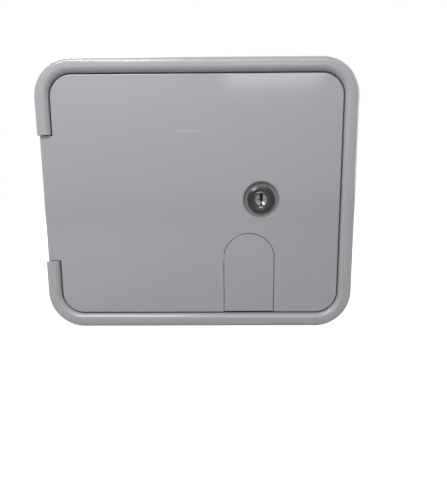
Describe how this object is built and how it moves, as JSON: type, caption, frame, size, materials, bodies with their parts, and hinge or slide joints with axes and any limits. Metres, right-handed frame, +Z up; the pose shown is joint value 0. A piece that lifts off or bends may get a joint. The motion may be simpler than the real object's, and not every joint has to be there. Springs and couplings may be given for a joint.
{
  "type": "caravan power cord hatch",
  "caption": "Moulded hatch for a vehicle's side wall: framed door on a side hinge, with a cam lock and an arched flap that lets a power cord out.",
  "frame": {"origin": "centre of the four screw holes, on the wall's outer face", "axes": "+X to the right as seen from outside, towards the lock, +Y into the wall, +Z up; the door's face looks along -Y"},
  "size_m": [0.229, 0.037, 0.1948],
  "materials": {
    "frame_plastic": "satin moulded plastic",
    "door_plastic": "satin moulded plastic",
    "flap_plastic": "satin moulded plastic",
    "gasket_rubber": "soft black foam rubber",
    "pin_steel": "drawn",
    "lock_metal": "dark plated die casting",
    "plug_metal": "bright plated die casting",
    "wafer_brass": "stamped",
    "spring_steel": "drawn wire",
    "washer_steel": "zinc plated",
    "nut_metal": "plated",
    "cam_steel": "zinc plated",
    "screw_steel": "zinc plated"
  },
  "bodies": {
    "frame_body": {"frame": "frame_plastic", "door_gasket": "gasket_rubber", "hinge_pin_lower": "pin_steel", "hinge_pin_upper": "pin_steel"},
    "door_body": {"door": "door_plastic", "flap_pin": "pin_steel", "lock_body": "lock_metal", "lock_washer": "washer_steel", "lock_nut": "nut_metal"},
    "flap_body": {"cord_flap": "flap_plastic"},
    "plug_body": {"lock_plug": "plug_metal", "lock_wafer_1": "wafer_brass", "lock_wafer_2": "wafer_brass", "lock_wafer_3": "wafer_brass", "lock_wafer_4": "wafer_brass", "lock_wafer_5": "wafer_brass", "wafer_spring_1": "spring_steel", "wafer_spring_2": "spring_steel", "wafer_spring_3": "spring_steel", "wafer_spring_4": "spring_steel", "wafer_spring_5": "spring_steel", "stop_washer": "washer_steel", "lock_cam": "cam_steel", "cam_washer": "washer_steel", "cam_screw": "screw_steel"}
  },
  "joints": [
    {"name": "door_hinge", "type": "hinge", "parent": "frame_body", "child": "door_body", "pos_m": [-0.1104, -0.006, 0], "axis": [0, 0, -1], "range_deg": [0, 180]},
    {"name": "flap_pivot", "type": "hinge", "parent": "door_body", "child": "flap_body", "pos_m": [0.0375, -0.0057, -0.04535], "axis": [-1, 0, 0], "range_deg": [0, 85]},
    {"name": "lock_turn", "type": "hinge", "parent": "door_body", "child": "plug_body", "pos_m": [0.0462, 0, -0.0014], "axis": [0, 1, 0], "range_deg": [0, 90]}
  ]
}
